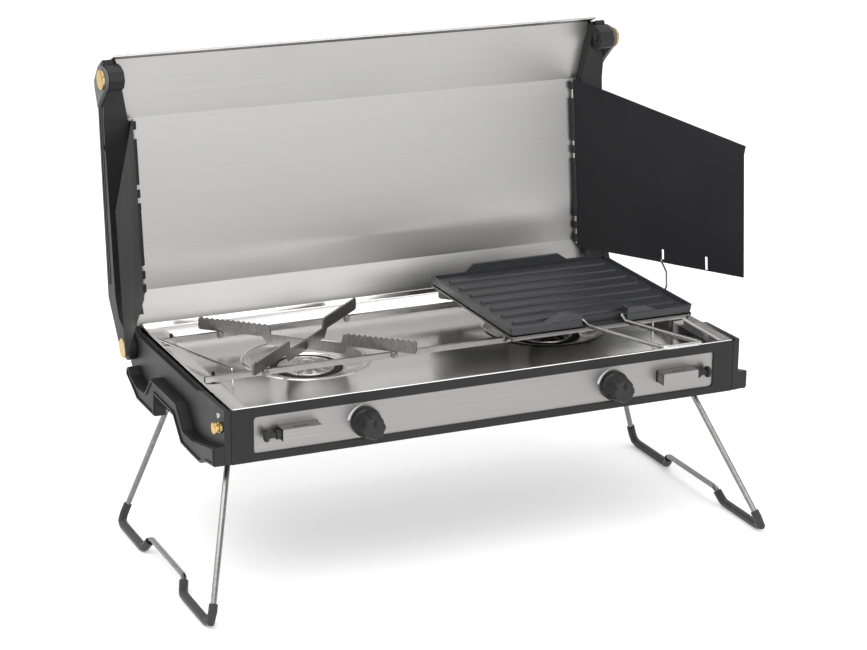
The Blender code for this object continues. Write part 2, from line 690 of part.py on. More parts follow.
def make_lid():
    shell = strip(LID_PATH, SHEET, "x", -LID_HALF, LID_HALF, 1)
    node("lid_shell", shell, "steel", origin=(0, *PIVOT))

    front = offset_line(LID_PATH[1:4], 11.0)
    near = offset_line(LID_PATH[1:4], GAP)
    lower = [(262.6, 58.0), (249.6, 50.5)]
    inner = [tuple(near[0]), tuple(near[1]), tuple(near[2]), lower[0], lower[1], tuple(front[2]),
             tuple(front[1]), (271.6, 266.5)]
    block = prism(inner, "x", LID_CAP_IN, LID_HALF + 2.5)
    outer = [(275.5, 273.0), (284.0, 268.0), (291.0, 250.0), (291.4, 226.0), (285.6, 147.0), (278.4, 61.0),
             (266.0, 47.6), (249.6, 47.6), tuple(front[2]), tuple(front[1]), (271.6, 266.5)]
    side = prism(outer, "x", LID_HALF + 0.4, LID_CAP_OUT)
    arm = [tuple(front[2]), (249.6, 50.5)]
    for k in range(7):
        t = math.radians(135 + 22.5 * k)
        arm.append((PIVOT[0] + 11 * math.cos(t), PIVOT[1] + 11 * math.sin(t)))
    arm += [(246.5, 20.5), (255.5, 31.0), (278.4, 61.0), (279.0, 70.0)]
    hanger = prism(arm, "x", HALF_W + 0.4, LID_CAP_OUT)
    head = [(272.5, 249.0), (264.5, 248.2), (257.3, 251.3), (254.2, 258.5), (257.3, 265.7), (264.5, 268.8),
            (272.5, 269.5)]
    boss = prism(head, "x", 228.6, LID_CAP_OUT)
    taper = prism([(217.0, 212.0), (219.0, 212.0), (228.4, 262.0), (228.4, 290.0), (217.0, 290.0)],
                  "y", 240.0, 300.0)
    cap = union(cut(union(side, block, hanger), taper), boss)
    pivot = rod("x", (0, *PIVOT), 3.3, 225, 250)
    latch = rod("x", (0, *LATCH), 2.8, 225, 250, 12)
    pair("lid_cap", cut(cap, pivot, latch), "plastic", origin=(0, *PIVOT))
    disc = [(0, 228.0), (3.0, 228.0), (3.0, 242.3), (8.8, 242.3), (8.8, 245.2), (8.0, 246.0), (0, 246.0)]
    pair("lid_pivot", lathe(disc, "x", (0, *PIVOT), 20), "brass", smooth=True)

    y, z = LATCH
    lever = [(y + 9.5 * math.cos(t), z + 9.5 * math.sin(t)) for t in
             [math.radians(d) for d in (100, 130, 160, 190, 220, 250)]]
    lever += [(275.0, 237.0), (281.5, 230.5), (288.5, 246.0), (289.5, 253.0), (276.0, 269.0)]
    plate = prism(lever, "x", LID_CAP_OUT + GAP, LID_CAP_OUT + 3.6)
    plate = cut(plate, rod("x", (0, y, z), 2.8, 235, 255, 12))
    pair("latch", plate, "black_paint", origin=(0, y, z))
    rivet = [(0, 228.6), (2.5, 228.6), (2.5, 245.9), (8.6, 245.9), (8.6, 247.6), (7.8, 248.4), (0, 248.4)]
    pair("latch_rivet", lathe(rivet, "x", (0, y, z), 20), "brass", smooth=True)


def shield_frame(s):
    """Axes of an open shield: along its width, across its thickness, and up its hinge line."""
    up = Vector((0, math.sin(SHIELD_LEAN), math.cos(SHIELD_LEAN)))
    ahead = Vector((0, -math.cos(SHIELD_LEAN), math.sin(SHIELD_LEAN)))
    width = ahead * math.cos(SHIELD_OPEN) + Vector((s, 0, 0)) * math.sin(SHIELD_OPEN)
    across = up.cross(width)
    return Matrix((width, across, up)).transposed()


def make_shields():
    for s, side in ((-1, "left"), (1, "right")):
        turn = shield_frame(s)
        base = Vector((s * SHIELD_X, *SHIELD_ORIGIN))
        sheet = prism(SHIELD_EDGE, "y", -SHIELD_T / 2, SHIELD_T / 2)
        slots = [box((a - SLOT_W / 2, -3, lo), (a + SLOT_W / 2, 3, hi)) for a, lo, hi in SHIELD_SLOTS]
        sheet = cut(sheet, *slots)
        roll = rod("z", (0, 0, 0), 2.6, -44.0, -4.0, 12)
        roll2 = rod("z", (0, 0, 0), 2.6, 20.0, 60.0, 12)
        sheet = union(sheet, roll, roll2)
        sheet = cut(sheet, rod("z", (0, 0, 0), 1.5, -100, 100, 12))
        sheet.transform(Matrix.Translation(base) @ turn.to_4x4())
        node("shield_" + side, sheet, "shield_paint", origin=tuple(base), rotation=turn)
        pin = rod("z", (0, 0, 0), 1.2, -78.0, 76.0, 12)
        pin.transform(Matrix.Translation(base) @ turn.to_4x4())
        node("shield_pin_" + side, pin, "wire", smooth=True)


def make_props():
    fx, fy = PROP_FOOT
    rest_z = 50.1
    lying = [(-fx, fy, 27.0), (-fx, fy, rest_z), (-227.0, 174.0, rest_z), (-229.6, 181.5, rest_z)]
    down = fillet(lying, 3.0, 3)
    node("prop_left", tube(down, PROP_R, 8), "wire", origin=(-fx, fy, rest_z), smooth=True)
    base = Vector((SHIELD_X, *SHIELD_ORIGIN))
    turn = shield_frame(1)
    tip = base + turn @ Vector((103.9, -3.8, -83.2))
    raised = [(fx, fy, 27.0), (fx, fy, rest_z - 3), (229.0, 118.0, 60.5), (238.0, 135.0, 68.5), tuple(tip)]
    up = fillet(raised, 3.0, 3)
    node("prop_right", tube(up, PROP_R, 8), "wire", origin=(fx, fy, rest_z), smooth=True)


def main():
    clear_scene()
    make_root()
    make_body()
    make_cooktop()
    make_end_caps()
    make_burners()
    make_knobs()
    make_igniters()
    make_grate()
    make_griddle()
    make_legs()
    make_lid()
    make_shields()
    make_props()
    stand_on_origin()


main()
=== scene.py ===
"""Looks of the camping stove: finishes, fine parts, floor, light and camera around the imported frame."""

import json
import math

import bmesh
import bpy
from mathutils import Matrix, Vector

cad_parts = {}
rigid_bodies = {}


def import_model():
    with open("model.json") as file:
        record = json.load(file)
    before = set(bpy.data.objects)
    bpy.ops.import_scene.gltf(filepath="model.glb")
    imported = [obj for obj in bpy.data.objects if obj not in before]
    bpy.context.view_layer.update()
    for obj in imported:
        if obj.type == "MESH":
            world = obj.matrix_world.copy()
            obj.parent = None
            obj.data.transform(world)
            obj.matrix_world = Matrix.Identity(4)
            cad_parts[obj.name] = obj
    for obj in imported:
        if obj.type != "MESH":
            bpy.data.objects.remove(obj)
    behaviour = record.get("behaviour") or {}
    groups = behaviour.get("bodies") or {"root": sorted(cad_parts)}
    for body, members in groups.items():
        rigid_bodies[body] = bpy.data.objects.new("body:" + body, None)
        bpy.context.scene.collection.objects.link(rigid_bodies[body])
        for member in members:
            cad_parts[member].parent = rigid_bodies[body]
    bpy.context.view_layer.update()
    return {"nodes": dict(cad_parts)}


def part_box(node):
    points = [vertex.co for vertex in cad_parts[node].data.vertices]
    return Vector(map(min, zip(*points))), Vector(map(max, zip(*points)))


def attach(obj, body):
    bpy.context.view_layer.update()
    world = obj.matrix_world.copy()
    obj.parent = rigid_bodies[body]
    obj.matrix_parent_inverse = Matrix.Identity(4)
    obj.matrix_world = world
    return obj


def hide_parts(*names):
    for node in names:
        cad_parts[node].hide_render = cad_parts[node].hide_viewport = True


MM = 0.001

# Clear what Blender starts with, then bring in the frame.
for thing in list(bpy.data.objects):
    bpy.data.objects.remove(thing)
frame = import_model()
NODES = frame["nodes"]


# ---------------------------------------------------------------- places

FRONT_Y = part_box("front_panel")[0].y
BASE_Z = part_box("base_pan")[0].z

# In mm, with the same values as part.py: the knobs' and burners' middles and the cooktop's floor.
KNOB_X = 113.7
KNOB_Z = 20.6
BURNER_X = 113.6
BURNER_Y = 131.0
FLOOR_Z = 33.0
# Where thin pieces on the control plate end, just inside its front face.
IN_PLATE_Y = 1.52

# Each side's sign along x and its name.
SIDES = ((-1, "left"), (1, "right"))


def at(x, y, z):
    """World place of a point given in mm from the middle of the body's lower front edge."""
    return Vector((x * MM, FRONT_Y + y * MM, BASE_Z + z * MM))


# ---------------------------------------------------------------- material helpers

class Finish:
    """A node material under construction: a Principled shader and the nodes that feed it."""

    def __init__(self, name, **values):
        """values are inputs of the shader, with _ for each space in an input's name."""
        self.material = bpy.data.materials.new(name)
        self.material.use_nodes = True
        self.tree = self.material.node_tree
        self.shader = self.tree.nodes["Principled BSDF"]
        for key, value in values.items():
            self.shader.inputs[key.replace("_", " ")].default_value = value
        self.coords = self.tree.nodes.new("ShaderNodeTexCoord").outputs["Object"]

    def link(self, out, socket):
        self.tree.links.new(out, socket)

    def noise(self, density, detail, rough=0.5):
        """Noise with that many features per metre along x, y and z."""
        mapping = self.tree.nodes.new("ShaderNodeMapping")
        mapping.inputs["Scale"].default_value = density
        self.link(self.coords, mapping.inputs["Vector"])
        texture = self.tree.nodes.new("ShaderNodeTexNoise")
        texture.inputs["Scale"].default_value = 1.0
        texture.inputs["Detail"].default_value = detail
        texture.inputs["Roughness"].default_value = rough
        self.link(mapping.outputs["Vector"], texture.inputs["Vector"])
        return texture.outputs["Fac"]

    def colours(self, fac, dark, light, start=0.3, end=0.7):
        """Base colour: dark where fac is at start, light where it is at end."""
        ramp = self.tree.nodes.new("ShaderNodeValToRGB")
        ramp.color_ramp.elements[0].color = (*dark, 1)
        ramp.color_ramp.elements[1].color = (*light, 1)
        ramp.color_ramp.elements[0].position = start
        ramp.color_ramp.elements[1].position = end
        self.link(fac, ramp.inputs["Fac"])
        self.link(ramp.outputs["Color"], self.shader.inputs["Base Color"])

    def painted_corner_shade(self, distance):
        """Painted shade: darken the colour where faces meet in corners, within distance in metres."""
        corner = self.tree.nodes.new("ShaderNodeAmbientOcclusion")
        corner.samples = 8
        corner.inputs["Distance"].default_value = distance
        self.link(self.shader.inputs["Base Color"].links[0].from_socket, corner.inputs["Color"])
        self.link(corner.outputs["Color"], self.shader.inputs["Base Color"])

    def roughness(self, fac, low, high):
        """Roughness from low to high over the middle of the noise's range."""
        remap = self.tree.nodes.new("ShaderNodeMapRange")
        remap.inputs["From Min"].default_value = 0.3
        remap.inputs["From Max"].default_value = 0.7
        remap.inputs["To Min"].default_value = low
        remap.inputs["To Max"].default_value = high
        self.link(fac, remap.inputs["Value"])
        self.link(remap.outputs["Result"], self.shader.inputs["Roughness"])

    def bump(self, fac, strength, depth):
        """Relief on top of any that is already there; depth is its height in metres."""
        relief = self.tree.nodes.new("ShaderNodeBump")
        relief.inputs["Strength"].default_value = strength
        relief.inputs["Distance"].default_value = depth
        self.link(fac, relief.inputs["Height"])
        if self.shader.inputs["Normal"].links:
            self.link(self.shader.inputs["Normal"].links[0].from_socket, relief.inputs["Normal"])
        self.link(relief.outputs["Normal"], self.shader.inputs["Normal"])


# ---------------------------------------------------------------- finishes

def brushed(name, dark, light, density, rough, relief):
    """Brushed metal; the lines' density is small along the brushing, rough is a low and high value."""
    f = Finish(name, Metallic=1.0, Specular_IOR_Level=0.5)
    lines = f.noise(density, 5.0, 0.65)
    f.colours(lines, dark, light)
    f.roughness(lines, *rough)
    f.bump(lines, relief, 0.00012)
    return f.material


def sheet_steel():
    """The cooktop's polished sheet: faint rolling lines and soft clouding."""
    f = Finish("cooktop_steel", Metallic=1.0)
    lines = f.noise((9, 900, 900), 4.0, 0.6)
    clouds = f.noise((14, 14, 14), 3.0)
    f.colours(clouds, (0.78, 0.775, 0.76), (0.86, 0.855, 0.84))
    f.roughness(lines, 0.16, 0.22)
    f.bump(lines, 0.05, 0.00004)
    f.bump(clouds, 0.04, 0.0012)
    return f.material


def lid_steel():
    """The lid's inner sheet: fine lines across its width and a soft mottled sheen."""
    f = Finish("lid_steel", Metallic=1.0, Anisotropic=0.5)
    lines = f.noise((4, 1500, 1500), 6.0, 0.7)
    clouds = f.noise((5, 7, 7), 3.0)
    f.colours(lines, (0.392, 0.389, 0.381), (0.432, 0.429, 0.420))
    f.roughness(clouds, 0.34, 0.42)
    f.bump(lines, 0.07, 0.00005)
    return f.material


def moulded(name, dark, light, rough, density=2600):
    """Black moulded plastic with a fine spark-eroded grain and painted shade darkening its corners."""
    f = Finish(name, Specular_IOR_Level=0.3)
    fine = f.noise((density, density, density), 2.0)
    wide = f.noise((28, 28, 28), 3.0)
    f.colours(wide, dark, light)
    # painted shade: the colour is darkened in corners
    f.painted_corner_shade(0.007)
    f.roughness(wide, rough - 0.05, rough + 0.07)
    f.bump(fine, 0.35, 0.0001)
    return f.material


def painted(name, dark, light, rough):
    """Powder-coated sheet: orange-peel relief and slight sheen changes."""
    f = Finish(name, Specular_IOR_Level=0.3)
    peel = f.noise((900, 900, 900), 2.0)
    wide = f.noise((11, 11, 11), 3.0)
    f.colours(wide, dark, light)
    f.roughness(wide, rough - 0.04, rough + 0.06)
    f.bump(peel, 0.28, 0.00008)
    return f.material


def griddle_coating():
    """Dark non-stick coating with a pebbled grain, faint flecks and painted shade darkening its corners."""
    f = Finish("griddle_coating", Metallic=0.0, Coat_Weight=0.12, Coat_Roughness=0.35,
               Specular_IOR_Level=0.55)
    pebbles = f.noise((850, 850, 850), 4.0, 0.7)
    f.colours(pebbles, (0.010, 0.0103, 0.012), (0.044, 0.0445, 0.049), 0.4, 0.68)
    # painted shade: the colour is darkened in corners and at the feet of the ribs
    f.painted_corner_shade(0.004)
    f.roughness(pebbles, 0.30, 0.46)
    f.bump(pebbles, 0.8, 0.00025)
    return f.material


def turned_brass():
    """Brass with fine turning marks."""
    f = Finish("turned_brass", Metallic=1.0)
    rings = f.noise((60, 1500, 1500), 3.0)
    f.colours(rings, (0.44, 0.29, 0.09), (0.58, 0.41, 0.16))
    f.roughness(rings, 0.2, 0.36)
    f.bump(rings, 0.2, 0.00005)
    return f.material


def plated(name, dark, light):
    """Plated wire with drawing marks and slight dulling."""
    f = Finish(name, Metallic=1.0)
    marks = f.noise((260, 260, 260), 4.0)
    f.colours(marks, dark, light)
    f.roughness(marks, 0.2, 0.27)
    f.bump(marks, 0.03, 0.00004)
    return f.material


def soft_rubber():
    """Dull black rubber."""
    f = Finish("soft_rubber", Sheen_Weight=0.15)
    fine = f.noise((900, 900, 900), 3.0)
    f.colours(fine, (0.012, 0.012, 0.013), (0.024, 0.024, 0.025))
    f.roughness(fine, 0.6, 0.78)
    f.bump(fine, 0.3, 0.0001)
    return f.material


def printed_grey():
    """The grey ink of the crescents beside the knobs."""
    f = Finish("printed_grey")
    fine = f.noise((1500, 1500, 1500), 2.0)
    f.colours(fine, (0.46, 0.47, 0.50), (0.54, 0.55, 0.58))
    f.roughness(fine, 0.5, 0.6)
    return f.material


def studio_floor():
    """The white sweep, a little self-lit so that it stays white behind the stove."""
    f = Finish("studio_floor", Emission_Color=(1, 1, 1, 1), Emission_Strength=0.28)
    wide = f.noise((1.5, 1.5, 1.5), 2.0)
    f.colours(wide, (0.88, 0.88, 0.88), (0.90, 0.90, 0.90))
    f.roughness(wide, 0.75, 0.85)
    return f.material


COOKTOP = sheet_steel()
LID = lid_steel()
CONTROL = brushed("control_steel", (0.270, 0.267, 0.261), (0.315, 0.312, 0.306),
                  density=(14, 2400, 2400), rough=(0.36, 0.42), relief=0.06)
CAP = brushed("burner_steel", (0.42, 0.415, 0.405), (0.62, 0.61, 0.6),
              density=(420, 420, 420), rough=(0.22, 0.36), relief=0.1)
GRATE = brushed("grate_steel", (0.165, 0.162, 0.156), (0.270, 0.265, 0.255),
                density=(500, 500, 160), rough=(0.32, 0.44), relief=0.1)
RAIL = brushed("rail_steel", (0.27, 0.265, 0.255), (0.37, 0.365, 0.355),
               density=(120, 500, 500), rough=(0.3, 0.4), relief=0.08)
BARE = brushed("bare_aluminium", (0.13, 0.13, 0.127), (0.19, 0.19, 0.185),
               density=(30, 30, 900), rough=(0.34, 0.46), relief=0.1)
PAINT = painted("body_paint", (0.0085, 0.0085, 0.009), (0.0125, 0.0125, 0.0130), 0.46)
# Painted shade: this flat black stands in for shade in slots, gaps and seams; it also colours the rail pegs
# and the knobs' pointer bars.
BLACK_AND_SHADE = painted("shadow_black", (0.004, 0.004, 0.004), (0.007, 0.007, 0.007), 0.6)
SHIELD = painted("shield_paint", (0.0125, 0.0125, 0.0140), (0.0170, 0.0170, 0.0190), 0.5)
PLASTIC = moulded("moulded_black", (0.0110, 0.0110, 0.0120), (0.0165, 0.0165, 0.0175), 0.48)
KNOB = moulded("knob_black", (0.0135, 0.0135, 0.0140), (0.0190, 0.0190, 0.0200), 0.44, 3200)
LEVER = painted("lever_grey", (0.080, 0.080, 0.083), (0.105, 0.105, 0.109), 0.42)
COATING = griddle_coating()
BRASS = turned_brass()
WIRE = plated("bright_wire", (0.48, 0.48, 0.475), (0.58, 0.58, 0.57))
# Painted shade: a darker copy of the plated wire for the legs, which stand in shade under the body.
LEG_SHADED = plated("shaded_leg_wire", (0.17, 0.17, 0.168), (0.24, 0.24, 0.236))
RUBBER = soft_rubber()
PRINT = printed_grey()

# The finish of each frame piece, by how its name starts.
FINISHES = {
    "cooktop": COOKTOP, "lid_shell": LID, "control_plate": CONTROL, "griddle": COATING,
    "burner_cap": CAP, "burner_cup": PAINT, "igniter_housing": CONTROL, "igniter_button": KNOB,
    "rail": RAIL, "pot_support": GRATE, "base_pan": PAINT, "front_panel": PAINT,
    "leg_bracket": PAINT, "end_cap": PLASTIC, "lid_cap": PLASTIC, "knob": KNOB,
    "latch_stud": BRASS, "latch_rivet": BRASS, "lid_pivot": BRASS, "latch": LEVER,
    "gas_inlet": BRASS, "gas_manifold": BRASS, "valve": BRASS, "venturi": WIRE,
    "griddle_handle": WIRE, "leg_wire": LEG_SHADED, "prop": WIRE, "shield_pin": WIRE,
    "shield": SHIELD, "foot_sleeve": RUBBER,
}


def finish_of(node):
    """The finish whose key is the longest match for the start of the node's name."""
    return FINISHES[max((k for k in FINISHES if node.startswith(k)), key=len)]


# ---------------------------------------------------------------- edges of the frame's own pieces

def geometry_tree(name):
    """A node group that takes and gives one geometry, with its input and output nodes."""
    tree = bpy.data.node_groups.new(name, "GeometryNodeTree")
    tree.interface.new_socket("Geometry", in_out="INPUT", socket_type="NodeSocketGeometry")
    tree.interface.new_socket("Geometry", in_out="OUTPUT", socket_type="NodeSocketGeometry")
    return tree, tree.nodes.new("NodeGroupInput"), tree.nodes.new("NodeGroupOutput")


def smoothing(name):
    """Geometry nodes that join corners split in the file, then shade every face smooth."""
    tree, entry, end = geometry_tree(name)
    merge = tree.nodes.new("GeometryNodeMergeByDistance")
    merge.inputs["Distance"].default_value = 0.000001
    faces = tree.nodes.new("GeometryNodeSetShadeSmooth")
    tree.links.new(entry.outputs[0], merge.inputs["Geometry"])
    tree.links.new(merge.outputs["Geometry"], faces.inputs["Geometry"])
    tree.links.new(faces.outputs["Geometry"], end.inputs[0])
    return tree


def creasing(name, degrees):
    """Geometry nodes that mark every edge sharper than that many degrees, so flats stay flat."""
    tree, entry, end = geometry_tree(name)
    angle = tree.nodes.new("GeometryNodeInputMeshEdgeAngle")
    steep = tree.nodes.new("FunctionNodeCompare")
    steep.data_type = "FLOAT"
    steep.operation = "GREATER_THAN"
    steep.inputs["B"].default_value = math.radians(degrees)
    edges = tree.nodes.new("GeometryNodeSetShadeSmooth")
    edges.domain = "EDGE"
    edges.inputs["Shade Smooth"].default_value = False
    tree.links.new(angle.outputs["Unsigned Angle"], steep.inputs["A"])
    tree.links.new(steep.outputs["Result"], edges.inputs["Selection"])
    tree.links.new(entry.outputs[0], edges.inputs["Geometry"])
    tree.links.new(edges.outputs["Geometry"], end.inputs[0])
    return tree


# Edges that turn more than this many degrees are sharp, and the lid's shallow folds more than that many.
SHARP = 32
LID_SHARP = 6

SOFT = smoothing("soft_shading")
CRISP = creasing("crisp_edges", SHARP)
FOLDS = creasing("crisp_folds", LID_SHARP)

# Widths in metres of the rolled or moulded edge on each kind of piece; the rest have none.
EDGES = {"end_cap": 0.0006, "lid_cap": 0.0007, "griddle": 0.0006, "knob": 0.0004, "base_pan": 0.0004,
         "front_panel": 0.0003, "cooktop": 0.0003, "latch": 0.0004, "igniter_housing": 0.0003,
         "pot_support": 0.00012, "rail": 0.0003, "shield": 0.00018, "lid_shell": 0.0002,
         "leg_bracket": 0.0003, "control_plate": 0.0001, "valve": 0.0003}


def dress(name, node):
    """A frame piece keeps its shape and gets its finish, smooth shading and a fine edge."""
    node.data.materials.clear()
    node.data.materials.append(finish_of(name))
    soft = node.modifiers.new("soft", "NODES")
    soft.node_group = SOFT
    width = next((w for k, w in EDGES.items() if name.startswith(k)), None)
    if width:
        bevel = node.modifiers.new("edge", "BEVEL")
        bevel.width = width
        bevel.segments = 2
        bevel.limit_method = "ANGLE"
        bevel.angle_limit = math.radians(SHARP)
        bevel.harden_normals = False
    crisp = node.modifiers.new("crisp", "NODES")
    crisp.node_group = FOLDS if name == "lid_shell" else CRISP
    weighted = node.modifiers.new("weighted", "WEIGHTED_NORMAL")
    weighted.keep_sharp = True


for name, node in NODES.items():
    dress(name, node)


# ---------------------------------------------------------------- piece helpers

def turns(count):
    """That many even angles round a circle, in radians."""
    return [2 * math.pi * i / count for i in range(count)]


def bridge(bm, rings, closed=False):
    """Faces from each ring to the next, and from the last to the first if closed."""
    after = rings[1:]
    if closed:
        after = after + rings[:1]
    for a, b in zip(rings, after):
        for i in range(len(a)):
            j = (i + 1) % len(a)
            bm.faces.new((a[i], a[j], b[j], b[i]))


def finished(bm, name):
    """The mesh of a closed shape, with its faces turned outwards."""
    bmesh.ops.recalc_face_normals(bm, faces=bm.faces)
    mesh = bpy.data.meshes.new(name)
    bm.to_mesh(mesh)
    bm.free()
    return mesh


def place(mesh, name, material, body, sharp=SHARP):
    """A new piece of that material on that body; edges that turn more than sharp degrees stay crisp."""
    obj = bpy.data.objects.new(name, mesh)
    bpy.context.scene.collection.objects.link(obj)
    mesh.materials.append(material)
    mesh.shade_smooth()
    mesh.set_sharp_from_angle(angle=math.radians(sharp))
    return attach(obj, body)


def turned(profile, middle, axis, sides):
    """A turned piece: (radius, distance along axis) pairs in mm from middle, the first and last on axis."""
    bm = bmesh.new()
    turn = Vector(axis).to_track_quat("Z", "Y").to_matrix()
    rings = []
    for r, h in profile:
        if r == 0:
            rings.append([bm.verts.new(middle + turn @ Vector((0, 0, h * MM)))])
        else:
            rings.append([bm.verts.new(middle + turn @ (Vector((r * math.cos(t), r * math.sin(t), h)) * MM))
                          for t in turns(sides)])
    for a, b in zip(rings, rings[1:]):
        for i in range(sides):
            j = (i + 1) % sides
            if len(a) == 1:
                bm.faces.new((a[0], b[i], b[j]))
            elif len(b) == 1:
                bm.faces.new((a[i], b[0], a[j]))
            else:
                bm.faces.new((a[i], b[i], b[j], a[j]))
    return finished(bm, "turned")


def sweep(points, radius, sides=12):
    """A round wire along points in mm."""
    route = [at(*p) for p in points]
    bm = bmesh.new()
    rings = []
    for k, p in enumerate(route):
        before = (p - route[k - 1]).normalized() if k else (route[1] - p).normalized()
        after = (route[k + 1] - p).normalized() if k < len(route) - 1 else before
        turn = (before + after).normalized().to_track_quat("Z", "Y").to_matrix()
        rings.append([bm.verts.new(p + turn @ Vector((math.cos(t), math.sin(t), 0)) * radius * MM)
                      for t in turns(sides)])
    bridge(bm, rings)
    bm.faces.new(rings[0][::-1])
    bm.faces.new(rings[-1])
    return finished(bm, "wire")


def slab(outline, low, high, axis="z"):
    """A flat piece: the outline in mm on the other two axes in order, between two places on axis."""
    def put(p, a):
        if axis == "x":
            return at(a, p[0], p[1])
        if axis == "y":
            return at(p[0], a, p[1])
        return at(p[0], p[1], a)
    bm = bmesh.new()
    first = [bm.verts.new(put(p, low)) for p in outline]
    second = [bm.verts.new(put(p, high)) for p in outline]
    bm.faces.new(first)
    bm.faces.new(second[::-1])
    bridge(bm, [first, second])
    bmesh.ops.triangulate(bm, faces=[f for f in bm.faces if len(f.verts) > 4])
    return finished(bm, "slab")


def rounded(x0, x1, y0, y1, r, steps=6):
    """A rectangle's outline with corners of radius r, each in that many steps."""
    outline = []
    corners = ((x1 - r, y0 + r, -90), (x1 - r, y1 - r, 0), (x0 + r, y1 - r, 90), (x0 + r, y0 + r, 180))
    for cx, cy, start in corners:
        for k in range(steps + 1):
            t = math.radians(start + 90 * k / steps)
            outline.append((cx + r * math.cos(t), cy + r * math.sin(t)))
    return outline


def inset(loop, far):
    """The loop moved inwards by far, whichever way round it runs."""
    n = len(loop)
    area = sum(loop[i - 1][0] * loop[i][1] - loop[i][0] * loop[i - 1][1] for i in range(n))
    turn = 1 if area > 0 else -1
    # At a very sharp corner the point moves no further than far over this.
    least = 0.45
    out = []
    for i in range(n):
        a, b, c = Vector(loop[i - 1]), Vector(loop[i]), Vector(loop[(i + 1) % n])
        u, v = (b - a).normalized(), (c - b).normalized()
        n1, n2 = Vector((-u.y, u.x)) * turn, Vector((-v.y, v.x)) * turn
        m = (n1 + n2).normalized()
        out.append(tuple(b + m * far / max(least, m.dot(n1))))
    return out


def border(loop, near, far, low, high):
    """A raised band between two insets of a loop in y and z; it stands from x low to x high."""
    chamfer = 0.15
    section = [(near, low), (near, high - chamfer), (near + chamfer, high), (far - chamfer, high),
               (far, high - chamfer), (far, low)]
    bm = bmesh.new()
    rings = [[bm.verts.new(at(x, *p)) for p in inset(loop, d)] for d, x in section]
    bridge(bm, rings, closed=True)
    return finished(bm, "border")


def on_side(mesh, s):
    """The mesh as it is on the right, and its mirror image on the left."""
    if s < 0:
        mesh.transform(Matrix.Diagonal((-1, 1, 1, 1)))
        mesh.flip_normals()
    return mesh


# ---------------------------------------------------------------- fine pieces

def make_grate_rivets():
    """Domed rivets on the front faces of the rails, under the ends of the pot supports."""
    dome = [(0, 1.0), (0.9, 1.05), (1.7, 1.5), (2.4, 1.5), (2.9, 1.0), (3.1, 0.3), (3.1, -0.3), (0, -0.3)]
    rivet_z = 46.0
    for s, side in SIDES:
        for row, rail_y, spread in (("front", 76.2, 57.7), ("rear", 183.0, 58.8)):
            for k in (-1, 1):
                spot = at(s * BURNER_X + k * spread, rail_y, rivet_z)
                mesh = turned(dome, spot, axis=(0, -1, 0), sides=32)
                place(mesh, "rivet_%s_%s_%d" % (row, side, k + 1), GRATE, "grate")


def make_rail_pegs():
    """Black pegs that stand on the cooktop's shelves behind the ends of the rails."""
    peg = [(0, 7.4), (1.0, 7.3), (1.4, 6.8), (1.4, 1.0), (2.2, 0.6), (2.2, 0), (0, 0)]
    peg_x, shelf_z = 214.5, 43.1
    for s, side in SIDES:
        for row, y in (("front", 82.5), ("rear", 189.0)):
            mesh = turned(peg, at(s * peg_x, y, shelf_z), axis=(0, 0, 1), sides=20)
            place(mesh, "peg_%s_%s" % (row, side), BLACK_AND_SHADE, "stove_body")


def make_cap_screws():
    """A pan-head screw in the front top corner of each end cap."""
    head = [(0, 0.45), (0.9, 0.45), (1.0, 1.25), (1.9, 1.15), (2.5, 0.6), (2.6, 0.0), (1.6, -0.1),
            (1.6, -3.0), (0, -3.0)]
    screw_x, screw_y, screw_z = 235.0, 12.4, 38.9
    for s, side in SIDES:
        mesh = turned(head, at(s * screw_x, screw_y, screw_z), axis=(s, 0, 0), sides=32)
        place(mesh, "cap_screw_" + side, WIRE, "stove_body")


def make_knob(s, side):
    """A skirted control knob with shallow scallops and a rounded nose, and a dark pointer bar on it."""
    sides = 160
    scallops, sharpness = 8, 2.2
    # radius, distance out from the front panel, and the scallops' depth as a share of the radius
    rows = [(3.35, -13.0, 0), (3.35, 0.6, 0), (12.2, 0.6, 0), (12.6, 0.9, 0), (12.7, 1.5, 0), (12.7, 2.4, 0),
            (12.5, 3.0, 0), (12.1, 3.5, 0.01), (11.7, 4.4, 0.04), (11.3, 6.0, 0.07), (10.8, 12.0, 0.09),
            (10.1, 16.6, 0.095), (9.7, 18.2, 0.09), (9.1, 19.3, 0.08), (8.5, 20.0, 0.06),
            (7.9, 20.3, 0.04), (7.4, 20.3, 0.01), (6.9, 20.0, 0.0), (0.6, 19.9, 0.0)]
    x = s * KNOB_X
    bm = bmesh.new()
    rings = []
    for r, out, depth in rows:
        ring = []
        for t in turns(sides):
            k = r * (1 - depth * (0.5 - 0.5 * math.cos(scallops * t)) ** sharpness)
            ring.append(bm.verts.new(at(x + k * math.cos(t), -out, KNOB_Z + k * math.sin(t))))
        rings.append(ring)
    bridge(bm, rings)
    bm.faces.new(rings[0])
    bm.faces.new(rings[-1])
    knob = place(finished(bm, "knob_shape"), "knob_" + side + "_shape", KNOB, "control_" + side, sharp=40)
    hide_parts("knob_" + side)
    half, inner_end, outer_end, corner = 0.8, 2.0, 8.6, 0.75
    bar = rounded(x - half, x + half, KNOB_Z + inner_end, KNOB_Z + outer_end, corner)
    place(slab(bar, -20.4, -19.6, "y"), "pointer_" + side, BLACK_AND_SHADE, "control_" + side)


def make_knob_mark(s, side):
    """A printed crescent round the upper left of a knob that thins as it climbs."""
    steps = 24
    start, span = 170, 74
    radius, widest, thinnest = 14.9, 1.15, 0.08
    proud_y = 1.42
    outer = []
    inner = []
    for k in range(steps + 1):
        t = math.radians(start - span * k / steps)
        half = widest * (1 - (k / steps) ** 1.5) * min(1.0, 0.5 + k / 4) + thinnest
        for edge, r in ((outer, radius + half), (inner, radius - half)):
            edge.append((s * KNOB_X + r * math.cos(t), KNOB_Z + r * math.sin(t)))
    mark = slab(outer + inner[::-1], proud_y, IN_PLATE_Y, "y")
    place(mark, "flame_mark_" + side, PRINT, "stove_body")


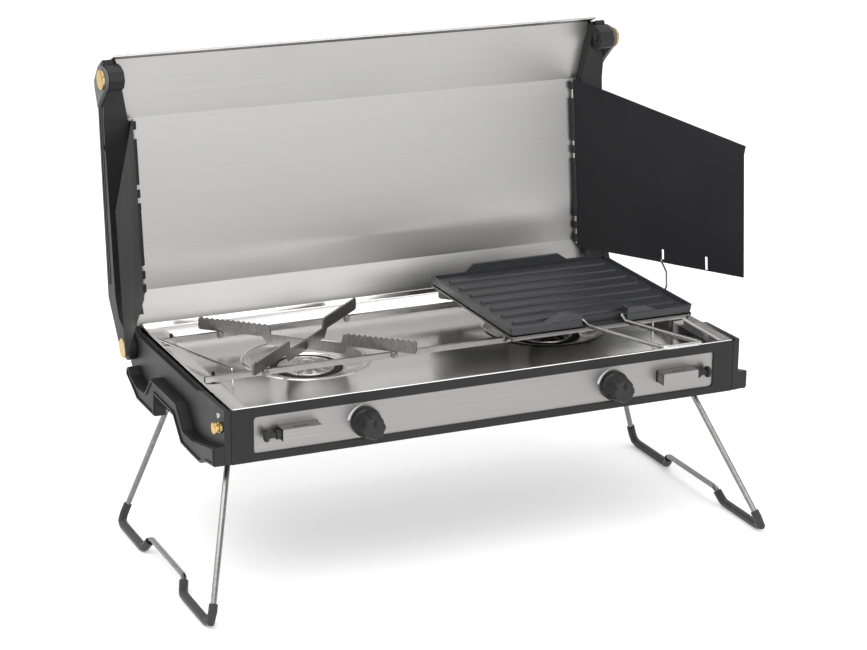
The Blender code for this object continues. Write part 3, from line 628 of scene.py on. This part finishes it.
def make_igniter_parts(s, side):
    """Painted shade as thin black sheets in the slot, along the cutout edge and in the seam round the end
    tab, with the end tab and lower lip of a folded igniter housing.
    """
    # the housing's end with the tab, its other end, and its lower and upper faces
    x0, x1 = s * 155.8, s * 189.4
    z0, z1 = 17.4, 27.9
    mid = (x0 + x1) / 2
    # painted shade: a thin black sheet in the slot on the housing's top
    slot_shade = slab(rounded(mid - 6.5, mid + 6.5, -6.4, -5.4, 0.45), z1 - 0.1, z1 + 0.06)
    place(slot_shade, "igniter_slot_" + side, BLACK_AND_SHADE, "stove_body")
    # painted shade: a thin black sheet along the plate's cutout beside the housing's end
    a, b = sorted((x0, x0 - s * 0.9))
    cutout_shade = slab(rounded(a, b, z0 - 0.3, z1 + 0.3, 0.3, 2), 1.4, IN_PLATE_Y, "y")
    place(cutout_shade, "igniter_cutout_" + side, BLACK_AND_SHADE, "stove_body")
    tab = rounded(-8.6, -1.6, z0 + 2.0, z1 - 2.0, 1.2, 4)
    seam_shade = rounded(-9.1, -1.1, z0 + 1.5, z1 - 1.5, 1.6, 4)
    # the seam is painted shade: a thin black sheet just round the tab
    for name, loop, proud, finish in (("seam_shade", seam_shade, 0.08, BLACK_AND_SHADE), ("tab", tab, 0.22, CONTROL)):
        low, high = sorted((x0 - s * proud, x0 + s * 0.3))
        place(slab(loop, low, high, "x"), "igniter_%s_%s" % (name, side), finish, "stove_body")
    a, b = sorted((x0 + s * 3.0, x1 - s * 3.0))
    lip = [(-10.6, z0 + 1.4), (-10.8, z0 + 1.8), (-10.8, z0 + 2.2), (-10.6, z0 + 2.6)]
    place(slab(lip, a, b, "x"), "igniter_lip_" + side, CONTROL, "stove_body")


def make_burner_cap(s, side):
    """The burner's steel cap: a shallow dome pressed into folds, with a raised rim and a boss."""
    sides = 144
    folds, fold_height = 12, 1.6
    # radius, height, and the folds' share of their full height
    rows = [(24.6, 9.9, 0), (24.6, 26.4, 0), (24.4, 27.0, 0), (23.8, 27.3, 0), (23.0, 27.2, 0),
            (22.3, 26.8, 0.1), (20.5, 27.3, 0.55), (16.0, 28.3, 0.6), (11.0, 29.1, 0.35), (9.2, 29.3, 0.1),
            (8.4, 29.9, 0), (7.6, 30.0, 0), (6.8, 29.6, 0), (3.0, 29.8, 0), (0.3, 29.8, 0)]
    bm = bmesh.new()
    rings = []
    for r, z, fold in rows:
        ring = []
        for t in turns(sides):
            wave = abs((folds * t / (2 * math.pi)) % 1 - 0.5) * 2
            ring.append(bm.verts.new(at(s * BURNER_X + r * math.cos(t), BURNER_Y + r * math.sin(t),
                                        z + fold * (wave - 0.5) * fold_height)))
        rings.append(ring)
    bridge(bm, rings)
    bm.faces.new(rings[-1])
    bm.faces.new(rings[0])
    cap = place(finished(bm, "cap_shape"), "burner_cap_" + side + "_shape", CAP, "stove_body", sharp=14)
    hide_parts("burner_cap_" + side)


def bead(name, s, side, finish, inner, outer, z, height):
    """A ring round a burner, arched from radius inner to radius outer."""
    sides, steps = 96, 8
    sunk = -0.3
    profile = [(inner, sunk)]
    for k in range(steps + 1):
        t = k / steps
        profile.append((inner + (outer - inner) * t, height * math.sin(math.pi * t) ** 0.8))
    profile.append((outer, sunk))
    bm = bmesh.new()
    rings = [[bm.verts.new(at(s * BURNER_X + r * math.cos(t), BURNER_Y + r * math.sin(t), z + h))
              for t in turns(sides)] for r, h in profile]
    bridge(bm, rings, closed=True)
    place(finished(bm, name), name + "_" + side, finish, "stove_body", sharp=50)


def make_burner_rings(s, side):
    """Painted shade as a black ring in the gap round a burner's cap, and the two rings pressed in the
    cooktop round it.
    """
    # painted shade: a black ring standing for the shade in the gap round the cap
    bead("burner_gap_shade", s, side, BLACK_AND_SHADE, inner=24.7, outer=31.2, z=26.0, height=0.5)
    bead("inner_bead", s, side, COOKTOP, inner=33.0, outer=35.6, z=26.6, height=0.8)
    bead("outer_bead", s, side, COOKTOP, inner=51.0, outer=56.0, z=FLOOR_Z, height=0.8)


def make_cap_borders(s, side):
    """Raised borders on the carry rib and on the lid's moulded cap, and the boss inside that cap."""
    rib = [(0.3, 16.8), (52.0, 5.6), (74.4, 5.7), (91.8, 24.3), (157.0, 24.3), (172.0, 8.0), (177.3, 5.6),
           (196.3, 4.7), (212.0, 9.0), (217.5, 15.6), (224.0, 13.2), (224.5, 6.4), (211.0, 0.3),
           (196.0, -7.5), (150.0, -7.5), (148.5, 12.0), (103.0, 11.7), (99.5, 11.0), (80.5, -7.4),
           (56.0, -8.0), (34.0, -8.0), (21.0, -2.5), (0.3, 0.6)]
    mesh = on_side(border(rib, near=0.8, far=2.6, low=243.3, high=244.7), s)
    place(mesh, "rib_border_" + side, PLASTIC, "stove_body")
    panel = [(277.5, 262.0), (287.0, 248.0), (287.4, 226.0), (281.6, 147.0), (275.0, 72.0), (268.0, 75.0),
             (275.5, 147.0), (280.0, 226.0), (277.0, 244.0)]
    mesh = on_side(border(panel, near=0.2, far=1.4, low=241.8, high=242.5), s)
    place(mesh, "lid_cap_border_" + side, PLASTIC, "lid")
    boss = [(0, 1.0), (2.6, 1.0), (3.2, 0.4), (4.6, 0.5), (5.2, 1.3), (6.0, 1.3), (6.4, 0.6), (6.4, -1.0),
            (0, -1.0)]
    boss_x, boss_y, boss_z = 237.0, 277.0, 196.0
    mesh = turned(boss, at(s * boss_x, boss_y, boss_z), axis=(0, -1, 0.08), sides=40)
    place(mesh, "lid_cap_boss_" + side, PLASTIC, "lid")


def make_griddle_base():
    """The bare sheet under the coated griddle, which shows as a bright edge below its wall."""
    outline = rounded(x0=33.0, x1=207.9, y0=34.1, y1=200.4, r=4.0)
    place(slab(outline, low=61.0, high=62.7), "griddle_base", BARE, "griddle_plate")


def make_lid_rim():
    """The rolled edge along the lid's top, and the plugs over the inner ends of the latch rivets."""
    half, edge_y, edge_z = 231.6, 273.8, 275.7
    route = [(x, edge_y, edge_z) for x in (-half, 0, half)]
    place(sweep(route, radius=1.2), "lid_rolled_edge", WIRE, "lid")
    plug = [(0, 1.0), (2.6, 1.0), (3.4, 0.4), (3.4, -0.4), (0, -0.4)]
    plug_x, plug_y, plug_z = 228.4, 264.5, 258.5
    for s, side in SIDES:
        mesh = turned(plug, at(s * plug_x, plug_y, plug_z), axis=(-s, 0, 0), sides=24)
        place(mesh, "rivet_plug_" + side, PLASTIC, "lid")


def make_hinge_knuckles():
    """Barrels on the lid along each wind shield's hinge line, where the shield has none of its own."""
    barrel = [(0, -3.6), (2.3, -3.6), (2.75, -3.2), (2.75, 3.2), (2.3, 3.6), (0, 3.6)]
    lean = math.atan2(0.1202, 0.9927)
    line = (0, math.sin(lean), math.cos(lean))
    hinge_x, hinge_y, hinge_z = 214.0, 273.7, 140.5
    lowest, pitch, count = -72, 12, 13
    shield_rolls = ((-46, -2), (18, 62))
    for s, side in SIDES:
        for k in range(count):
            far = lowest + pitch * k
            if any(low < far < high for low, high in shield_rolls):
                continue
            spot = at(s * hinge_x, hinge_y + far * line[1], hinge_z + far * line[2])
            mesh = turned(barrel, spot, axis=line, sides=24)
            place(mesh, "knuckle_%s_%d" % (side, k), SHIELD, "lid")


make_grate_rivets()
make_rail_pegs()
make_cap_screws()
for s, side in SIDES:
    make_knob(s, side)
    make_knob_mark(s, side)
    make_igniter_parts(s, side)
    make_burner_cap(s, side)
    make_burner_rings(s, side)
    make_cap_borders(s, side)
make_griddle_base()
make_lid_rim()
make_hinge_knuckles()


# ---------------------------------------------------------------- studio

def make_floor():
    """A white sweep: flat under the stove, then curved up into a wall behind it."""
    half_width = 7.0
    front, depth = -4.0, 7.0
    curve = 1.5
    wall, wall_from = 3.0, 0.8
    steps = 32
    just_below = -0.0002
    bm = bmesh.new()
    rows = []
    for k in range(steps + 1):
        t = k / steps
        bend = max(0.0, t - 0.5) * 2
        y = front + depth * min(1.0, t * 2) + curve * math.sin(bend * math.pi / 2)
        z = curve * (1 - math.cos(bend * math.pi / 2)) + wall * max(0.0, bend - wall_from) * 5
        rows.append([bm.verts.new((x, y, z)) for x in (-half_width, half_width)])
    for a, b in zip(rows, rows[1:]):
        bm.faces.new((a[0], a[1], b[1], b[0]))
    mesh = bpy.data.meshes.new("floor")
    bm.to_mesh(mesh)
    bm.free()
    mesh.shade_smooth()
    floor = bpy.data.objects.new("floor", mesh)
    floor.location.z = just_below
    bpy.context.scene.collection.objects.link(floor)
    mesh.materials.append(studio_floor())


def softbox(name, spot, size, power):
    """A rectangular light at spot that points at the middle of the stove; metres and watts."""
    middle = Vector((0, 0, 0.18))
    light = bpy.data.lights.new(name, "AREA")
    light.shape = "RECTANGLE"
    light.size, light.size_y = size
    light.energy = power
    obj = bpy.data.objects.new(name, light)
    obj.location = spot
    obj.rotation_mode = "QUATERNION"
    obj.rotation_quaternion = (middle - Vector(spot)).to_track_quat("-Z", "Y")
    bpy.context.scene.collection.objects.link(obj)


def make_lights():
    """A white surround and three soft lights."""
    world = bpy.data.worlds.new("studio")
    bpy.context.scene.world = world
    world.use_nodes = True
    world.node_tree.nodes["Background"].inputs["Color"].default_value = (1, 1, 1, 1)
    world.node_tree.nodes["Background"].inputs["Strength"].default_value = 0.75
    softbox("key", spot=(-1.3, -1.2, 2.3), size=(1.8, 1.4), power=38)
    softbox("top", spot=(0.2, 0.2, 2.6), size=(2.6, 2.2), power=19)
    softbox("front", spot=(0.3, -2.6, 1.1), size=(2.6, 1.4), power=22)


def make_camera():
    """The viewpoint: from the front left, a little above the open stove."""
    azimuth = math.radians(-24.57)
    elevation = math.radians(18.12)
    roll = math.radians(0.63)
    distance = 2.05
    target = Vector((-0.0450, -0.0743, 0.2171))
    back = Vector((math.sin(azimuth) * math.cos(elevation), -math.cos(azimuth) * math.cos(elevation),
                   math.sin(elevation)))
    lens = bpy.data.cameras.new("camera")
    lens.sensor_width = 36.0
    lens.lens = 104.03
    cam = bpy.data.objects.new("camera", lens)
    cam.location = target + back * distance
    cam.rotation_mode = "QUATERNION"
    look = (-back).to_track_quat("-Z", "Y").to_matrix()
    cam.rotation_quaternion = (look @ Matrix.Rotation(roll, 3, "Z")).to_quaternion()
    bpy.context.scene.collection.objects.link(cam)
    bpy.context.scene.camera = cam
    bpy.context.scene.view_settings.view_transform = "Standard"


make_floor()
make_lights()
make_camera()
